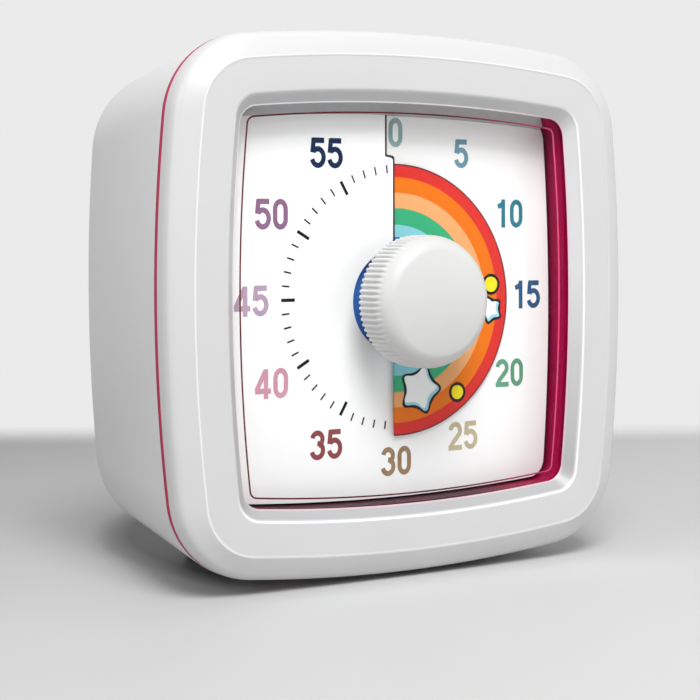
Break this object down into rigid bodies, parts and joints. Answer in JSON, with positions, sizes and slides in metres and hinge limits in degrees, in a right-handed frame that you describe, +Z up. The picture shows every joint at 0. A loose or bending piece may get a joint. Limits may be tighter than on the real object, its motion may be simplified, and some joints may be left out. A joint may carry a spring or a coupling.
{
  "type": "visual countdown timer",
  "caption": "Square desk timer with bowed sides: a ribbed knob turns a coloured disc that threads through a slit in a white 60-minute dial behind a clear window.",
  "frame": {"origin": "centre of the bounding box in plan, at the bottom of the rubber feet", "axes": "+X to the viewer's right, +Y from the face to the back, +Z up"},
  "size_m": [0.0844, 0.0532, 0.0851],
  "materials": {
    "case_plastic": "fine satin moulded plastic",
    "magenta_plastic": "glossy moulded plastic",
    "clear_window": "clear polished plastic",
    "dial_print": "printed card, satin",
    "disc_print": "printed film, satin",
    "hub_blue": "moulded plastic",
    "knob_white": "semi-gloss moulded plastic",
    "steel": "bright zinc plated",
    "brass": "stamped and cut",
    "gear_plastic": "natural acetal",
    "movement_black": "moulded plastic",
    "magnet": "sintered",
    "copper_wire": "enamelled winding",
    "board_green": "solder-masked laminate",
    "chip_black": "moulded package",
    "lead_red": "insulated wire",
    "cell_wrap": "printed sleeve",
    "foot_rubber": "soft moulded rubber"
  },
  "bodies": {
    "case": {"front_bezel": "case_plastic", "mid_frame": "magenta_plastic", "rear_shell": "case_plastic", "lens": "clear_window", "dial_plate": "dial_print", "movement_front": "movement_black", "movement_back": "movement_black", "stator": "steel", "coil_bobbin": "gear_plastic", "coil_winding": "copper_wire", "movement_screws": "steel", "circuit_board": "board_green", "control_chip": "chip_black", "quartz_crystal": "steel", "buzzer": "movement_black", "switch_body": "steel", "board_screws": "steel", "battery_cell": "cell_wrap", "positive_contact": "steel", "negative_contact": "steel", "battery_leads": "lead_red", "coil_leads": "copper_wire", "case_screws": "steel", "bezel_screws": "steel", "rubber_feet": "foot_rubber"},
    "knob": {"knob": "knob_white", "knob_shaft": "steel", "clutch_spring": "steel"},
    "disc": {"rainbow_disc": "disc_print", "disc_hub": "hub_blue"},
    "centre_wheel": {"centre_wheel": "brass"},
    "third_wheel": {"third_wheel": "brass"},
    "seconds_wheel": {"seconds_wheel": "brass"},
    "intermediate_wheel": {"intermediate_wheel": "gear_plastic"},
    "rotor": {"rotor": "magnet"},
    "volume_slider": {"volume_slider": "movement_black"},
    "battery_door": {"battery_door": "case_plastic"}
  },
  "joints": [
    {"name": "knob_turn", "type": "hinge", "parent": "case", "child": "knob", "pos_m": [0, -0.0195, 0.0435], "axis": [0, 1, 0], "range_deg": [-180, 180]},
    {"name": "disc_thread", "type": "slide", "parent": "knob", "child": "disc", "axis": [0, -1, 0], "range_m": [-0.00085, 0.00085]},
    {"name": "centre_wheel_turn", "type": "hinge", "parent": "case", "child": "centre_wheel", "pos_m": [0, -0.0055, 0.0435], "axis": [0, 1, 0], "continuous": true},
    {"name": "third_wheel_turn", "type": "hinge", "parent": "case", "child": "third_wheel", "pos_m": [-0.01161, -0.0055, 0.03537], "axis": [0, 1, 0], "continuous": true},
    {"name": "seconds_wheel_turn", "type": "hinge", "parent": "case", "child": "seconds_wheel", "pos_m": [-0.01342, -0.0055, 0.04713], "axis": [0, 1, 0], "continuous": true},
    {"name": "intermediate_wheel_turn", "type": "hinge", "parent": "case", "child": "intermediate_wheel", "pos_m": [-0.00705, -0.0055, 0.05548], "axis": [0, 1, 0], "continuous": true},
    {"name": "rotor_turn", "type": "hinge", "parent": "case", "child": "rotor", "pos_m": [0.00261, -0.0055, 0.05715], "axis": [0, 1, 0], "continuous": true},
    {"name": "volume_slide", "type": "slide", "parent": "case", "child": "volume_slider", "axis": [1, 0, 0], "range_m": [-0.002, 0.002]},
    {"name": "battery_door_swing", "type": "hinge", "parent": "case", "child": "battery_door", "pos_m": [0, 0.0252, 0.03775], "axis": [1, 0, 0], "range_deg": [0, 75]}
  ],
  "couplings": [
    {"joint": "disc_thread", "follows": "knob_turn", "m_per_rad": 0.00025465},
    {"joint": "third_wheel_turn", "follows": "centre_wheel_turn", "ratio": -8},
    {"joint": "seconds_wheel_turn", "follows": "centre_wheel_turn", "ratio": 60},
    {"joint": "intermediate_wheel_turn", "follows": "centre_wheel_turn", "ratio": -300},
    {"joint": "rotor_turn", "follows": "centre_wheel_turn", "ratio": 1800}
  ]
}
